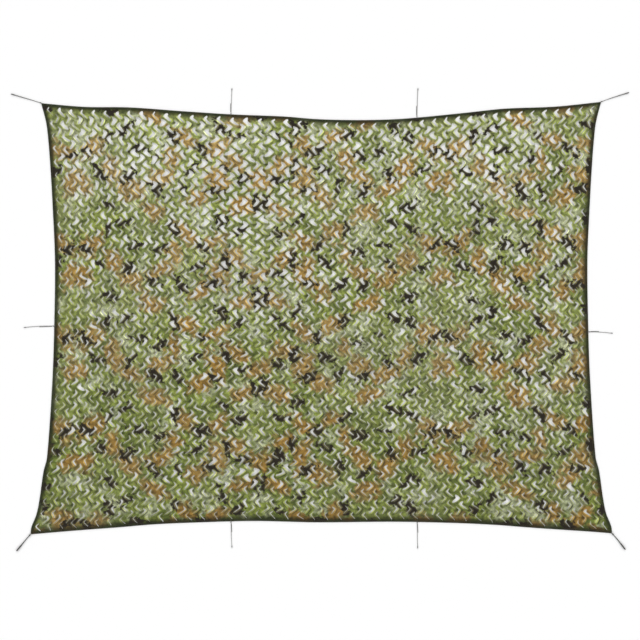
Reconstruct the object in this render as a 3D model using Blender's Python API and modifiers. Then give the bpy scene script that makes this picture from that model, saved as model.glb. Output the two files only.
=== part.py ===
"""A leaf-cut camouflage net of about 4 m by 3 m, lying flat, in metres with +Z up.

The printed cloth is one thin sheet. A folded tape binds its four edges, and ten ties leave the binding: one
at each corner, two along the top, two along the bottom and one at the middle of each side. Between the
corners the edges draw inwards. The origin is on the surface below the middle of the net.
"""

import math
from collections import namedtuple

import bmesh
import bpy
from mathutils import Vector

# Corners of the outline.
TOP_LEFT = Vector((-1.960, 1.504))
TOP_RIGHT = Vector((1.958, 1.513))
BOTTOM_LEFT = Vector((-2.035, -1.513))
BOTTOM_RIGHT = Vector((2.035, -1.506))

# How far each edge draws in from the straight line between its corners, from its first corner to its second.
Draw = namedtuple("Draw", "along inwards")
TOP_DRAW = (
    Draw(0.00, 0.000),
    Draw(0.30, 0.026),
    Draw(0.62, 0.031),
    Draw(1.00, 0.059),
    Draw(1.35, 0.082),
    Draw(1.70, 0.097),
    Draw(1.95, 0.117),
    Draw(2.26, 0.123),
    Draw(2.54, 0.114),
    Draw(2.96, 0.075),
    Draw(3.24, 0.046),
    Draw(3.60, 0.032),
    Draw(3.92, 0.000),
)
BOTTOM_DRAW = (
    Draw(0.00, 0.000),
    Draw(0.30, 0.025),
    Draw(0.60, 0.047),
    Draw(0.87, 0.069),
    Draw(1.15, 0.081),
    Draw(1.57, 0.091),
    Draw(2.00, 0.081),
    Draw(2.54, 0.084),
    Draw(2.96, 0.075),
    Draw(3.25, 0.061),
    Draw(3.52, 0.040),
    Draw(3.94, 0.011),
    Draw(4.07, 0.000),
)
SIDE_DRAW = (
    Draw(0.00, 0.000),
    Draw(0.13, 0.037),
    Draw(0.23, 0.053),
    Draw(0.43, 0.074),
    Draw(0.72, 0.098),
    Draw(1.11, 0.124),
    Draw(1.60, 0.130),
    Draw(1.95, 0.126),
    Draw(2.48, 0.102),
    Draw(2.58, 0.080),
    Draw(2.78, 0.056),
    Draw(2.88, 0.038),
    Draw(2.97, 0.005),
    Draw(3.02, 0.000),
)

# Cloth and binding.
CLOTH_THICKNESS = 0.0020
TAPE_THICKNESS = 0.0010
TAPE_DEPTH = 0.016  # from the fold to the tape's inner edge
CLOTH_INSET = 0.006  # from the fold to the cloth's edge, inside the tape
RIM_WIDTH = 0.014  # flat rim of the cloth, which reaches past the tape
GAP = 0.0003
COLUMNS = 36
ROWS = 27
CROWDING = 0.4  # how much closer the columns and rows stand at the corners
FOLD_FACES = 3

# Low swells where the slack cloth stands off the surface.
Swell = namedtuple("Swell", "x y half_length half_width turn_degrees height")
SWELLS = (
    Swell(-0.62, 0.98, 0.85, 0.26, 4, 0.0060),
    Swell(-0.60, 0.28, 0.70, 0.30, -6, 0.0050),
    Swell(1.05, 0.62, 0.75, 0.28, 9, 0.0045),
    Swell(-1.40, -0.35, 0.30, 0.80, 5, 0.0040),
    Swell(0.45, -0.30, 0.90, 0.24, -3, 0.0050),
    Swell(-0.55, -0.98, 0.80, 0.25, 5, 0.0055),
    Swell(1.25, -0.95, 0.60, 0.28, -8, 0.0045),
)
SWELL_RUN_OUT = 0.20  # the swells die away over this distance from the edges

# Ties, each with its route over the surface from the binding to its free end.
Tie = namedtuple("Tie", "name diameter knot_diameter knot_length tail_length route")
TIES = (
    Tie(
        "corner_top_left", 0.0035, 0.0075, 0.030, 0,
        ((-1.960, 1.505), (-2.030, 1.527), (-2.105, 1.549), (-2.172, 1.569)),
    ),
    Tie(
        "corner_top_right", 0.0035, 0.0075, 0.030, 0,
        ((1.958, 1.514), (2.022, 1.537), (2.090, 1.559), (2.154, 1.579)),
    ),
    Tie(
        "corner_bottom_left", 0.0050, 0.0105, 0.056, 0,
        ((-2.035, -1.513), (-2.066, -1.548), (-2.100, -1.590), (-2.133, -1.630)),
    ),
    Tie(
        "corner_bottom_right", 0.0050, 0.0105, 0.056, 0,
        ((2.035, -1.506), (2.066, -1.541), (2.098, -1.581), (2.128, -1.620)),
    ),
    Tie(
        "top_left", 0.0030, 0.0065, 0.018, 0.062,
        ((-0.632, 1.427), (-0.630, 1.490), (-0.628, 1.550), (-0.625, 1.611)),
    ),
    Tie(
        "top_right", 0.0030, 0.0065, 0.018, 0.066,
        ((0.670, 1.404), (0.671, 1.475), (0.673, 1.545), (0.677, 1.611)),
    ),
    Tie(
        "bottom_left", 0.0030, 0.0065, 0.018, 0.060,
        ((-0.632, -1.422), (-0.631, -1.486), (-0.629, -1.548), (-0.625, -1.609)),
    ),
    Tie(
        "bottom_right", 0.0030, 0.0065, 0.018, 0.060,
        ((0.671, -1.427), (0.672, -1.494), (0.673, -1.554), (0.675, -1.613)),
    ),
    Tie(
        "left", 0.0030, 0.0065, 0.018, 0.090,
        ((-1.869, -0.055), (-1.955, -0.056), (-2.024, -0.060), (-2.084, -0.066)),
    ),
    Tie(
        "right", 0.0030, 0.0065, 0.018, 0.060,
        ((1.870, -0.096), (1.930, -0.097), (1.990, -0.101), (2.042, -0.106)),
    ),
)
ROOT_KNOT_SCALE = 2.2  # the knot at the binding against the cord's diameter
ROOT_LEG = 0.013  # the stretch of tie that lies sewn over the binding
ROOT_TAPER = 0.006
LEVEL_END = 0.001  # a knot lies level for this stretch where the cord meets it
END_STUB = 0.006  # the stub of cord past the end knot
TAIL_SPREAD = 0.6  # how far a tail's end stands off its cord, in diameters
POINT_SPACING = 3  # between a tube's points, in diameters
SURFACE_CLEARANCE = 0.0001

# Rings along a knot: how far along, in knot radii, and how thick against the knot.
KnotRing = namedtuple("KnotRing", "along thickness")
ROOT_KNOT_RINGS = (KnotRing(0.0, 0.96), KnotRing(0.7, 1.00), KnotRing(1.4, 0.80))
END_KNOT_FIRST_RINGS = (KnotRing(1.0, 0.85), KnotRing(2.0, 1.00))
END_KNOT_LAST_RINGS = (KnotRing(-1.0, 1.00), KnotRing(0.0, 0.60))

SLOT_HEIGHT = CLOTH_THICKNESS + 2 * GAP
BINDING_HEIGHT = SLOT_HEIGHT + 2 * TAPE_THICKNESS
EDGE_LIFT = TAPE_THICKNESS + GAP  # the cloth's edge is raised by the tape below it
HALF_WIDTH = BOTTOM_RIGHT.x
HALF_HEIGHT = TOP_RIGHT.y


def make_material(name, colour, roughness):
    material = bpy.data.materials.new(name)
    material.use_nodes = True
    shader = material.node_tree.nodes["Principled BSDF"]
    shader.inputs["Base Color"].default_value = (*colour, 1.0)
    shader.inputs["Roughness"].default_value = roughness
    shader.inputs["Metallic"].default_value = 0.0
    return material


def smooth_between(xs, values, x):
    """The value at x on a smooth curve through the values at xs, which rise."""
    last = len(xs) - 1

    def slope(i):
        low = max(i - 1, 0)
        high = min(i + 1, last)
        return (values[high] - values[low]) / (xs[high] - xs[low])

    i = 0
    while i < last - 1 and x > xs[i + 1]:
        i += 1
    span = xs[i + 1] - xs[i]
    t = (x - xs[i]) / span
    start = (1 + 2 * t) * (1 - t) ** 2 * values[i] + t * (1 - t) ** 2 * span * slope(i)
    end = t * t * (3 - 2 * t) * values[i + 1] - t * t * (1 - t) * span * slope(i + 1)
    return start + end


def soft_step(t):
    t = min(max(t, 0.0), 1.0)
    return t * t * (3 - 2 * t)


class Edge:
    """One drawn-in edge of the outline, from its first corner to its second."""

    def __init__(self, first, second, draws, count):
        self.first = first
        self.second = second
        self.draws = draws
        self.count = count  # of the pieces that its straight stretches divide it into
        middle = (first + second) / 2
        straight = (second - first).normalized()
        self.inward = Vector((-straight.y, straight.x))
        if self.inward.dot(middle) > 0:
            self.inward = -self.inward

    def point(self, share):
        reach = share * self.draws[-1].along
        inwards = smooth_between([d.along for d in self.draws], [d.inwards for d in self.draws], reach)
        return self.first.lerp(self.second, share) + self.inward * inwards

    def stations(self):
        """Shares of the edge's length from 0 to 1, closer together at the two corners."""
        shares = [i / self.count for i in range(self.count + 1)]
        return [s - CROWDING * math.sin(2 * math.pi * s) / (2 * math.pi) for s in shares]

    def heading_from(self, corner):
        """The way that the edge sets off from a corner of the outline, or None where it has no end there."""
        first_step = self.stations()[1]
        if (self.first - corner).length < GAP:
            return (self.point(first_step) - corner).normalized()
        if (self.second - corner).length < GAP:
            return (self.point(1 - first_step) - corner).normalized()
        return None


EDGES = {
    "top": Edge(TOP_LEFT, TOP_RIGHT, TOP_DRAW, COLUMNS),
    "bottom": Edge(BOTTOM_LEFT, BOTTOM_RIGHT, BOTTOM_DRAW, COLUMNS),
    "left": Edge(TOP_LEFT, BOTTOM_LEFT, SIDE_DRAW, ROWS),
    "right": Edge(TOP_RIGHT, BOTTOM_RIGHT, SIDE_DRAW, ROWS),
}


def inside_outline(across, down):
    """The point at these shares of the way from the left edge to the right and from the top to the bottom."""
    between_rows = EDGES["top"].point(across).lerp(EDGES["bottom"].point(across), down)
    between_columns = EDGES["left"].point(down).lerp(EDGES["right"].point(down), across)
    corners = TOP_LEFT.lerp(TOP_RIGHT, across).lerp(BOTTOM_LEFT.lerp(BOTTOM_RIGHT, across), down)
    return between_rows + between_columns - corners


def swell_height(x, y):
    height = 0.0
    for swell in SWELLS:
        turn = math.radians(swell.turn_degrees)
        dx = x - swell.x
        dy = y - swell.y
        along = (dx * math.cos(turn) + dy * math.sin(turn)) / swell.half_length
        across = (dy * math.cos(turn) - dx * math.sin(turn)) / swell.half_width
        height += swell.height * soft_step(1 - math.hypot(along, across))
    return height


def make_sheet(name, columns, rows, place, thickness, material, collection):
    """A grid whose vertices place(column, row) sets, thickened on the side that it faces."""
    bm = bmesh.new()
    bmesh.ops.create_grid(bm, x_segments=columns, y_segments=rows, size=1.0)
    for vertex in bm.verts:
        column = round((vertex.co.x + 1) / 2 * columns)
        row = round((vertex.co.y + 1) / 2 * rows)
        vertex.co = place(column, row)
    mesh = bpy.data.meshes.new(name)
    bm.to_mesh(mesh)
    bm.free()
    mesh.materials.append(material)
    sheet = bpy.data.objects.new(name, mesh)
    collection.objects.link(sheet)
    solidify = sheet.modifiers.new("Thickness", "SOLIDIFY")
    solidify.thickness = thickness
    solidify.offset = 1.0
    solidify.use_even_offset = True
    return sheet


def make_cloth(material, collection):
    """The cloth: one sheet with a flat rim inside the binding, on the surface but for its swells."""

    def with_rim(shares, length):
        rim = RIM_WIDTH / length
        return [shares[0], rim, *shares[1:-1], 1 - rim, shares[-1]]

    across_shares = with_rim(EDGES["top"].stations(), 2 * HALF_WIDTH)
    down_shares = with_rim(EDGES["left"].stations(), 2 * HALF_HEIGHT)
    last_column = len(across_shares) - 1
    last_row = len(down_shares) - 1

    def place(column, row):
        point = inside_outline(across_shares[column], 1 - down_shares[row])
        x = point.x * (1 - CLOTH_INSET / HALF_WIDTH)
        y = point.y * (1 - CLOTH_INSET / HALF_HEIGHT)
        if min(column, row, last_column - column, last_row - row) <= 1:
            return Vector((x, y, EDGE_LIFT))
        from_side = 2 * HALF_WIDTH * min(across_shares[column], 1 - across_shares[column])
        from_end = 2 * HALF_HEIGHT * min(down_shares[row], 1 - down_shares[row])
        run_out = soft_step((min(from_side, from_end) - RIM_WIDTH) / SWELL_RUN_OUT)
        return Vector((x, y, run_out * swell_height(x, y)))

    make_sheet("net_cloth", last_column, last_row, place, CLOTH_THICKNESS, material, collection)


def half_angle_at(corner):
    """Half the angle between the two edges that meet at a corner of the outline."""
    headings = [edge.heading_from(corner) for edge in EDGES.values()]
    one, other = [heading for heading in headings if heading]
    return one.angle(other) / 2


def make_binding(name, edge, material, collection):
    """A tape folded over one edge, mitred where it meets the next tape."""
    outline = [edge.point(share) for share in edge.stations()]
    fold_radius = SLOT_HEIGHT / 2
    fold_centre = TAPE_THICKNESS + fold_radius
    section = [(TAPE_DEPTH, TAPE_THICKNESS)]
    for i in range(FOLD_FACES + 1):
        turn = math.pi * i / FOLD_FACES
        depth = fold_centre - fold_radius * math.sin(turn)
        section.append((depth, fold_centre - fold_radius * math.cos(turn)))
    section.append((TAPE_DEPTH, TAPE_THICKNESS + SLOT_HEIGHT))

    def inward_normal(start, end):
        along = (end - start).normalized()
        normal = Vector((-along.y, along.x))
        return normal if normal.dot(edge.inward) > 0 else -normal

    def mitred_end(depth, end, near):
        half_angle = half_angle_at(end)
        back = depth / math.tan(half_angle) + GAP / (2 * math.sin(half_angle))
        return end + (near - end).normalized() * back + inward_normal(end, near) * depth

    def place(column, row):
        depth, height = section[row]
        if column == 0:
            flat = mitred_end(depth, outline[0], outline[1])
        elif column == edge.count:
            flat = mitred_end(depth, outline[-1], outline[-2])
        else:
            before = inward_normal(outline[column - 1], outline[column])
            after = inward_normal(outline[column], outline[column + 1])
            normal = (before + after).normalized()
            flat = outline[column] + normal * depth / normal.dot(after)
        return Vector((flat.x, flat.y, height))

    binding = make_sheet(name, edge.count, len(section) - 1, place, TAPE_THICKNESS, material, collection)
    if (edge.second - edge.first).cross(edge.inward) < 0:
        binding.data.flip_normals()


def make_tube(name, points, radii, origin, material, collection):
    """A round tube with closed ends through these points, each with its own radius."""
    curve = bpy.data.curves.new(name, "CURVE")
    curve.dimensions = "3D"
    curve.bevel_depth = 1.0
    curve.bevel_resolution = 2
    curve.use_fill_caps = True
    curve.render_resolution_u = 0
    spline = curve.splines.new("POLY")
    spline.points.add(len(points) - 1)
    for spot, point, radius in zip(spline.points, points, radii):
        spot.co = (*(point - origin), 1.0)
        spot.radius = radius
    curve.materials.append(material)
    tube = bpy.data.objects.new(name, curve)
    tube.location = origin
    collection.objects.link(tube)


class Route:
    """A smooth flat route through a tie's own points, measured by the distance from the binding."""

    def __init__(self, points):
        self.points = [Vector(point) for point in points]
        self.reach = [0.0]
        for start, end in zip(self.points, self.points[1:]):
            self.reach.append(self.reach[-1] + (end - start).length)
        self.length = self.reach[-1]
        self.outward = (self.points[1] - self.points[0]).normalized()

    def at(self, distance, height):
        """The point at this distance along the route. A distance below 0 runs straight back over the net."""
        if distance < 0:
            flat = self.points[0] + self.outward * distance
        else:
            x = smooth_between(self.reach, [p.x for p in self.points], distance)
            y = smooth_between(self.reach, [p.y for p in self.points], distance)
            flat = Vector((x, y))
        return Vector((flat.x, flat.y, height))


Profile = namedtuple("Profile", "distance height radius")


def knot_profiles(tie, length):
    """The knot at the binding and the one at the free end, as distance, height and radius at each point."""
    cord = tie.diameter / 2
    root = cord * ROOT_KNOT_SCALE
    over_binding = BINDING_HEIGHT + GAP + cord
    root_start = GAP + root
    root_profile = [Profile(-ROOT_LEG * share, over_binding, cord) for share in (1, 0.5, 0)]
    root_profile.append(Profile(root_start / 2, (over_binding + root) / 2, (cord + root) / 2))
    for ring in ROOT_KNOT_RINGS:
        radius = root * ring.thickness
        root_profile.append(Profile(root_start + root * ring.along, radius, radius))
    root_end = root_profile[-1].distance + ROOT_TAPER
    root_profile += [Profile(root_end, cord, cord), Profile(root_end + LEVEL_END, cord, cord)]

    knot = tie.knot_diameter / 2
    first = length - tie.knot_length
    last = length - END_STUB
    end_profile = [Profile(first, cord, cord), Profile(first + LEVEL_END, cord, cord)]
    for start, rings in ((first, END_KNOT_FIRST_RINGS), (last, END_KNOT_LAST_RINGS)):
        for ring in rings:
            radius = knot * ring.thickness
            end_profile.append(Profile(start + knot * ring.along, radius, radius))
    end_profile.append(Profile(length, cord, cord))
    return root_profile, end_profile


def make_tie(tie, material, collection):
    """A tie: its leg over the binding with the knot beside it, the cord, a doubled tail, and the end knot."""
    route = Route(tie.route)
    origin = route.at(0, 0)
    radius = tie.diameter / 2
    level = radius + SURFACE_CLEARANCE
    root_profile, end_profile = knot_profiles(tie, route.length)

    for name, profile in (("root_knot", root_profile), ("end_knot", end_profile)):
        points = [route.at(p.distance, p.height + SURFACE_CLEARANCE) for p in profile]
        radii = [p.radius for p in profile]
        make_tube(f"{name}_{tie.name}", points, radii, origin, material, collection)

    def spaced(start, end):
        steps = math.ceil((end - start) / (POINT_SPACING * tie.diameter))
        return [start + (end - start) * i / steps for i in range(steps + 1)]

    start = root_profile[-1].distance + GAP
    end = end_profile[0].distance - GAP
    points = [route.at(distance, level) for distance in spaced(start, end)]
    make_tube(f"cord_{tie.name}", points, [radius] * len(points), origin, material, collection)

    if tie.tail_length:
        beside = Vector((-route.outward.y, route.outward.x, 0))
        points = []
        for distance in spaced(start, start + tie.tail_length):
            opened = soft_step((distance - start) / tie.tail_length)
            offset = tie.diameter * (1 + TAIL_SPREAD * opened) + GAP
            points.append(route.at(distance, level) + beside * offset)
        make_tube(f"tail_{tie.name}", points, [radius] * len(points), origin, material, collection)


for old in list(bpy.data.objects):
    bpy.data.objects.remove(old, do_unlink=True)

parts = bpy.data.collections.new("camouflage_net")
bpy.context.scene.collection.children.link(parts)

cloth_material = make_material("printed_cloth", (0.26, 0.30, 0.11), 0.80)
tape_material = make_material("binding_tape", (0.045, 0.055, 0.030), 0.75)
cord_material = make_material("tie_cord", (0.040, 0.042, 0.036), 0.70)

make_cloth(cloth_material, parts)
for side, side_edge in EDGES.items():
    make_binding(f"binding_{side}", side_edge, tape_material, parts)
for tie in TIES:
    make_tie(tie, cord_material, parts)
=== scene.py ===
"""The looks of a leaf-cut camouflage net of about 4 m by 3 m, laid out flat on a pale floor."""

import math
from collections import namedtuple

import bpy
import numpy as np
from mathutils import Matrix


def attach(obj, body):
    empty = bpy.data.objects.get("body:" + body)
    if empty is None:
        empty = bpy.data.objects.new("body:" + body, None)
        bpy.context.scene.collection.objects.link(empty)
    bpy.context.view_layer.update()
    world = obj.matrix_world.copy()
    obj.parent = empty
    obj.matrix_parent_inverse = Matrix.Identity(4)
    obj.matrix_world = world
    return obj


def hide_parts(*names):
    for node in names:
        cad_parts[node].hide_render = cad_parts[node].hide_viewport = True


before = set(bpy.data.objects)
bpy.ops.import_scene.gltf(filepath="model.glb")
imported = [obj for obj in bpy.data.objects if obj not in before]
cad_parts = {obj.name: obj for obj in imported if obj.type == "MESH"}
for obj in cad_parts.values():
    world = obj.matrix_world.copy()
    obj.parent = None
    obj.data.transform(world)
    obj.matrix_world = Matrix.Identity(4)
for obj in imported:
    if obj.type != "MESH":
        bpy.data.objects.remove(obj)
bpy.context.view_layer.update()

# Camera: straight above the middle of the net, far enough back to take in the free ends of all its ties.
# Through a long lens, so that nothing leans outwards.
VIEW_WIDTH = 4.48
VIEW_CENTRE = (-0.009, -0.013)
LENS = 85.0
SENSOR = 36.0


def placed(name, data):
    """A new object in the scene."""
    thing = bpy.data.objects.new(name, data)
    bpy.context.scene.collection.objects.link(thing)
    return thing


camera_data = bpy.data.cameras.new("camera")
camera_data.lens = LENS
camera_data.sensor_width = SENSOR
camera = placed("camera", camera_data)
camera.location = (*VIEW_CENTRE, VIEW_WIDTH * LENS / SENSOR)
bpy.context.scene.camera = camera

# Ties: ten short cords of three twisted charcoal strands, which open out at the ends of the corner ties.
# Each is sewn down over the edge tape, knotted beside it and finished with a wound knot at its free end.
# The six on the straight edges also show the short tail that is left over from tying them.
Tie = namedtuple("Tie", "name diameter knot_diameter knot_length opened tail_length route")
THIN = (0.0035, 0.0075, 0.030, 1.8)  # diameter, knot's diameter and length, and how far the strands open
WIDE = (0.0050, 0.0105, 0.056, 1.8)
SIDE = (0.0030, 0.0065, 0.018, 1.0)
TIES = (
    Tie("corner_top_left", *THIN, 0, ((-1.960, 1.505), (-2.030, 1.527), (-2.105, 1.549), (-2.172, 1.569))),
    Tie("corner_top_right", *THIN, 0, ((1.958, 1.514), (2.022, 1.537), (2.090, 1.559), (2.154, 1.579))),
    Tie("corner_bottom_left", *WIDE, 0, ((-2.035, -1.513), (-2.066, -1.548), (-2.1, -1.59), (-2.133, -1.63))),
    Tie("corner_bottom_right", *WIDE, 0, ((2.035, -1.506), (2.066, -1.541), (2.098, -1.581), (2.128, -1.62))),
    Tie("top_left", *SIDE, 0.062, ((-0.632, 1.427), (-0.630, 1.490), (-0.628, 1.550), (-0.625, 1.611))),
    Tie("top_right", *SIDE, 0.066, ((0.670, 1.404), (0.671, 1.475), (0.673, 1.545), (0.677, 1.611))),
    Tie("bottom_left", *SIDE, 0.06, ((-0.632, -1.422), (-0.631, -1.486), (-0.629, -1.548), (-0.625, -1.609))),
    Tie("bottom_right", *SIDE, 0.060, ((0.671, -1.427), (0.672, -1.494), (0.673, -1.554), (0.675, -1.613))),
    Tie("left", *SIDE, 0.090, ((-1.869, -0.055), (-1.955, -0.056), (-2.024, -0.060), (-2.084, -0.066))),
    Tie("right", *SIDE, 0.060, ((1.870, -0.096), (1.930, -0.097), (1.990, -0.101), (2.042, -0.106))),
)
TAPE_TOP = 0.0046  # the upper face of the edge tape, over which a tie's leg lies
GAP = 0.0003
CORD_START = 0.002  # out from the tape's fold, where the leg ends and the cord begins
ROOT_KNOT_SCALE = 2.2  # the knot at the tape against the cord's diameter
ROOT_KNOT_LENGTH = 2.4  # along the cord, in that knot's radii
ROOT_LEG = 0.013
ROOT_TAPER = 0.006
ROOT_THREAD = 0.86  # of the cord's thickness, in the turns of the knot at the tape
END_THREAD = 0.90  # and in those of the end knot
END_STUB = 0.006
TAIL_SPREAD = 0.6  # how far a tail's end stands off its cord, in diameters
FLOOR_CLEARANCE = 0.0001
ROUTE_POINTS = 25

STRANDS = 3
STRAND_CENTRE = 0.536  # from the cord's axis to a strand's, against the cord's radius
STRAND_RADIUS = 0.464
LAY_LENGTH = 3.4  # along one full turn of a strand, in cord diameters
ROPE_SIDES = 18
ROPE_STEP = 0.24  # between the rings of a cord's mesh, in diameters
GROOVE_RIM = 0.92  # of the radius, where the painted shade in a groove begins
GROOVE_DEPTH = 0.45
GROOVE_FLOOR = 0.5
CORD_ENDS = (1.0, 0.45)  # the shares of its radius to which a cord is drawn in at its ends
WRAP_ENDS = (0.5, 0.5)
TAIL_ENDS = (0.6, 0.4)
WOUND_STEP = 0.30
WOUND_PITCH = 2.02  # between a knot's turns, in radii of their cord
TUCKED = 0.55  # of a knot's radius, at both ends of its turns
TUCK_TURN = 2.5

MAP_END = 0.02  # margins in a grid's cell of the map
MAP_SIDE = 0.06
MAP_CAP = 0.02  # and the radius and margin of a cap
MAP_CAP_MARGIN = 0.03
SHARP_ANGLE = 60

CORD_COLOUR = (0.085, 0.083, 0.074)
CORD_FADED = (0.170, 0.165, 0.145)
# the painted shade between the strands
CORD_GROOVE_SHADE = (0.020, 0.020, 0.017)
KNOT_COLOUR = (0.030, 0.029, 0.025)
KNOT_FADED = (0.085, 0.082, 0.070)


class Value:
    """A number that changes over a surface: a node's socket, whose arithmetic adds Math nodes."""

    def __init__(self, finish, socket):
        self.finish = finish
        self.socket = socket

    def math(self, operation, *others):
        return self.finish.node("ShaderNodeMath", {"operation": operation}, dict(enumerate((self, *others))))

    def __add__(self, other):
        return self.math("ADD", other)

    def __sub__(self, other):
        return self.math("SUBTRACT", other)

    def __rsub__(self, other):
        return (self * -1) + other

    def __mul__(self, other):
        return self.math("MULTIPLY", other)

    def held(self):
        """This number, kept from 0 to 1."""
        return self.math("MINIMUM", 1.0).math("MAXIMUM", 0.0)

    __radd__ = __add__
    __rmul__ = __mul__


class Finish:
    """A node material: its Principled shader, and the one method that adds its other nodes."""

    def __init__(self, name, **uniform):
        self.material = bpy.data.materials.new(name)
        self.material.use_nodes = True
        self.tree = self.material.node_tree
        self.shader = self.tree.nodes["Principled BSDF"]
        for socket, value in uniform.items():
            self.shader.inputs[socket.replace("_", " ")].default_value = value

    def node(self, kind, settings=None, inputs=None, output=0):
        node = self.tree.nodes.new(kind)
        for name, value in (settings or {}).items():
            setattr(node, name, value)
        for name, value in (inputs or {}).items():
            self.join(value, node.inputs[name])
        return Value(self, node.outputs[output])

    def join(self, value, socket):
        if isinstance(value, Value):
            self.tree.links.new(value.socket, socket)
        elif socket.type == "RGBA" and len(value) == 3:
            socket.default_value = (*value, 1.0)
        else:
            socket.default_value = value

    def blend(self, share, first, second, how="MIX"):
        """The colour that runs from the first to the second as the share goes from 0 to 1."""
        settings = {"data_type": "RGBA", "blend_type": how}
        return self.node("ShaderNodeMix", settings, {"Factor": share, 6: first, 7: second}, 2)

    def vector(self, operation, *vectors, output=0):
        return self.node("ShaderNodeVectorMath", {"operation": operation}, dict(enumerate(vectors)), output)

    def place(self):
        """Where a point of the surface is, in metres."""
        return self.node("ShaderNodeTexCoord", output="Object")

    def part(self, vector, axis):
        """A place's distance along an axis, 0 across and 1 up the net."""
        return self.node("ShaderNodeSeparateXYZ", None, {"Vector": vector}, axis)

    def grain(self, place, per_metre, detail=2.0, roughness=0.5, output=0):
        """Smooth random values, mostly from 0.3 to 0.7, this many to the metre."""
        inputs = {"Vector": place, "Scale": per_metre, "Detail": detail, "Roughness": roughness}
        return self.node("ShaderNodeTexNoise", None, inputs, output)

    def finished(self, colour, roughness, height, metres, strength):
        """The material, its surface raised by a height from 0 to 1 that stands for this many metres."""
        bump = self.node("ShaderNodeBump", None, {"Height": height, "Distance": metres, "Strength": strength})
        for value, socket in ((colour, "Base Color"), (roughness, "Roughness"), (bump, "Normal")):
            self.join(value, self.shader.inputs[socket])
        return self.material


def cord_finish(name, dyed, worn):
    """Matt charcoal polyester: finely fibrous, paler where it is rubbed, with painted shade between its
    strands.
    """
    finish = Finish(name, Sheen_Weight=0.25, Specular_IOR_Level=0.3)
    place = finish.place()
    groove = finish.node("ShaderNodeAttribute", {"attribute_name": "groove"}, output="Fac")
    rubbed = ((finish.grain(place, 60.0, 3.0) - 0.45) * 3.5).held()
    fibre = finish.grain(place, 1800.0, 2.0, 0.7)
    colour = finish.blend(rubbed * 0.6 + fibre * 0.3, dyed, worn)
    # painted shade between the strands
    colour = finish.blend(groove, colour, CORD_GROOVE_SHADE)
    return finish.finished(colour, fibre * 0.3 + 0.62, fibre, 0.0002, 0.8)


def soft_step(t):
    t = np.clip(t, 0.0, 1.0)
    return t * t * (3 - 2 * t)


def smooth_between(xs, values, x):
    """The values at x on a smooth curve through the values at xs, which rise."""
    xs = np.asarray(xs, float)
    values = np.asarray(values, float)
    last = len(xs) - 1
    low = np.maximum(np.arange(last + 1) - 1, 0)
    high = np.minimum(np.arange(last + 1) + 1, last)
    slopes = (values[high] - values[low]) / (xs[high] - xs[low])
    i = np.clip(np.searchsorted(xs, x) - 1, 0, last - 1)
    span = xs[i + 1] - xs[i]
    t = (x - xs[i]) / span
    start = (1 + 2 * t) * (1 - t) ** 2 * values[i] + t * (1 - t) ** 2 * span * slopes[i]
    return start + t * t * (3 - 2 * t) * values[i + 1] - t * t * (1 - t) * span * slopes[i + 1]


def totals(steps):
    """The running totals of some steps, from 0."""
    return np.concatenate(([0.0], np.cumsum(steps)))


def reach_along(points):
    return totals(np.linalg.norm(np.diff(points, axis=0), axis=1))


class Route:
    """A smooth route through a tie's own points, measured by the distance from the tape's outer edge."""

    def __init__(self, tie):
        self.points = np.array(tie.route)
        self.reach = reach_along(self.points)
        self.length = self.reach[-1]
        self.outward = (self.points[1] - self.points[0]) / self.reach[1]
        self.beside = np.array((-self.outward[1], self.outward[0], 0.0))
        cord = tie.diameter / 2
        root = cord * ROOT_KNOT_SCALE
        knot = tie.knot_diameter / 2
        root_knot_end = GAP + ROOT_KNOT_LENGTH * root
        self.root_end = root_knot_end + ROOT_TAPER
        first = self.length - tie.knot_length
        over_tape = TAPE_TOP + GAP + cord
        # Distance and height of the cord's axis: over the tape, down to the root knot, along the floor and up
        # in the end knot. It sags a little inside both knots.
        self.rise = np.array((
            (-ROOT_LEG, over_tape),
            (0.0, over_tape),
            (GAP + root, root),
            (root_knot_end, root * 0.9),
            (self.root_end, cord),
            (first, cord * tie.opened),
            (first + knot, knot * 0.95),
            (first + 2 * knot, knot),
            (self.length - END_STUB - knot, knot),
            (self.length - END_STUB, knot * 0.7),
            (self.length, cord),
        ))

    def at(self, distance):
        """The points at these distances. One below 0 lies straight back over the tape."""
        distance = np.atleast_1d(distance)
        flat = [smooth_between(self.reach, self.points[:, axis], distance) for axis in (0, 1)]
        back = self.points[0] + np.outer(distance, self.outward)
        flat = np.where(distance[:, None] < 0, back, np.stack(flat, 1))
        height = np.interp(distance, self.rise[:, 0], self.rise[:, 1]) + FLOOR_CLEARANCE
        return np.column_stack((flat, height))


def sides_along(points):
    """Two directions square to a path at each of its points, turned as little as can be between them."""
    along = np.gradient(points, axis=0)
    along /= np.linalg.norm(along, axis=1, keepdims=True)
    side = np.cross(along[0], (0.0, 0.0, 1.0))
    if np.linalg.norm(side) < 0.1:
        side = np.cross(along[0], (0.0, 1.0, 0.0))
    sides = []
    for direction in along:
        side = side - direction * side.dot(direction)
        side = side / np.linalg.norm(side)
        sides.append(side)
    sides = np.array(sides)
    return sides, np.cross(along, sides)


def spaced(start, end, step):
    return np.linspace(start, end, max(2, math.ceil((end - start) / step) + 1))


def rings_round(points, count):
    """The angles of so many directions round a path, and the directions at each of its points."""
    sides, ups = sides_along(points)
    angles = np.arange(count) / count * 2 * math.pi
    return angles, np.cos(angles)[:, None] * sides[:, None] + np.sin(angles)[:, None] * ups[:, None]


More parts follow.
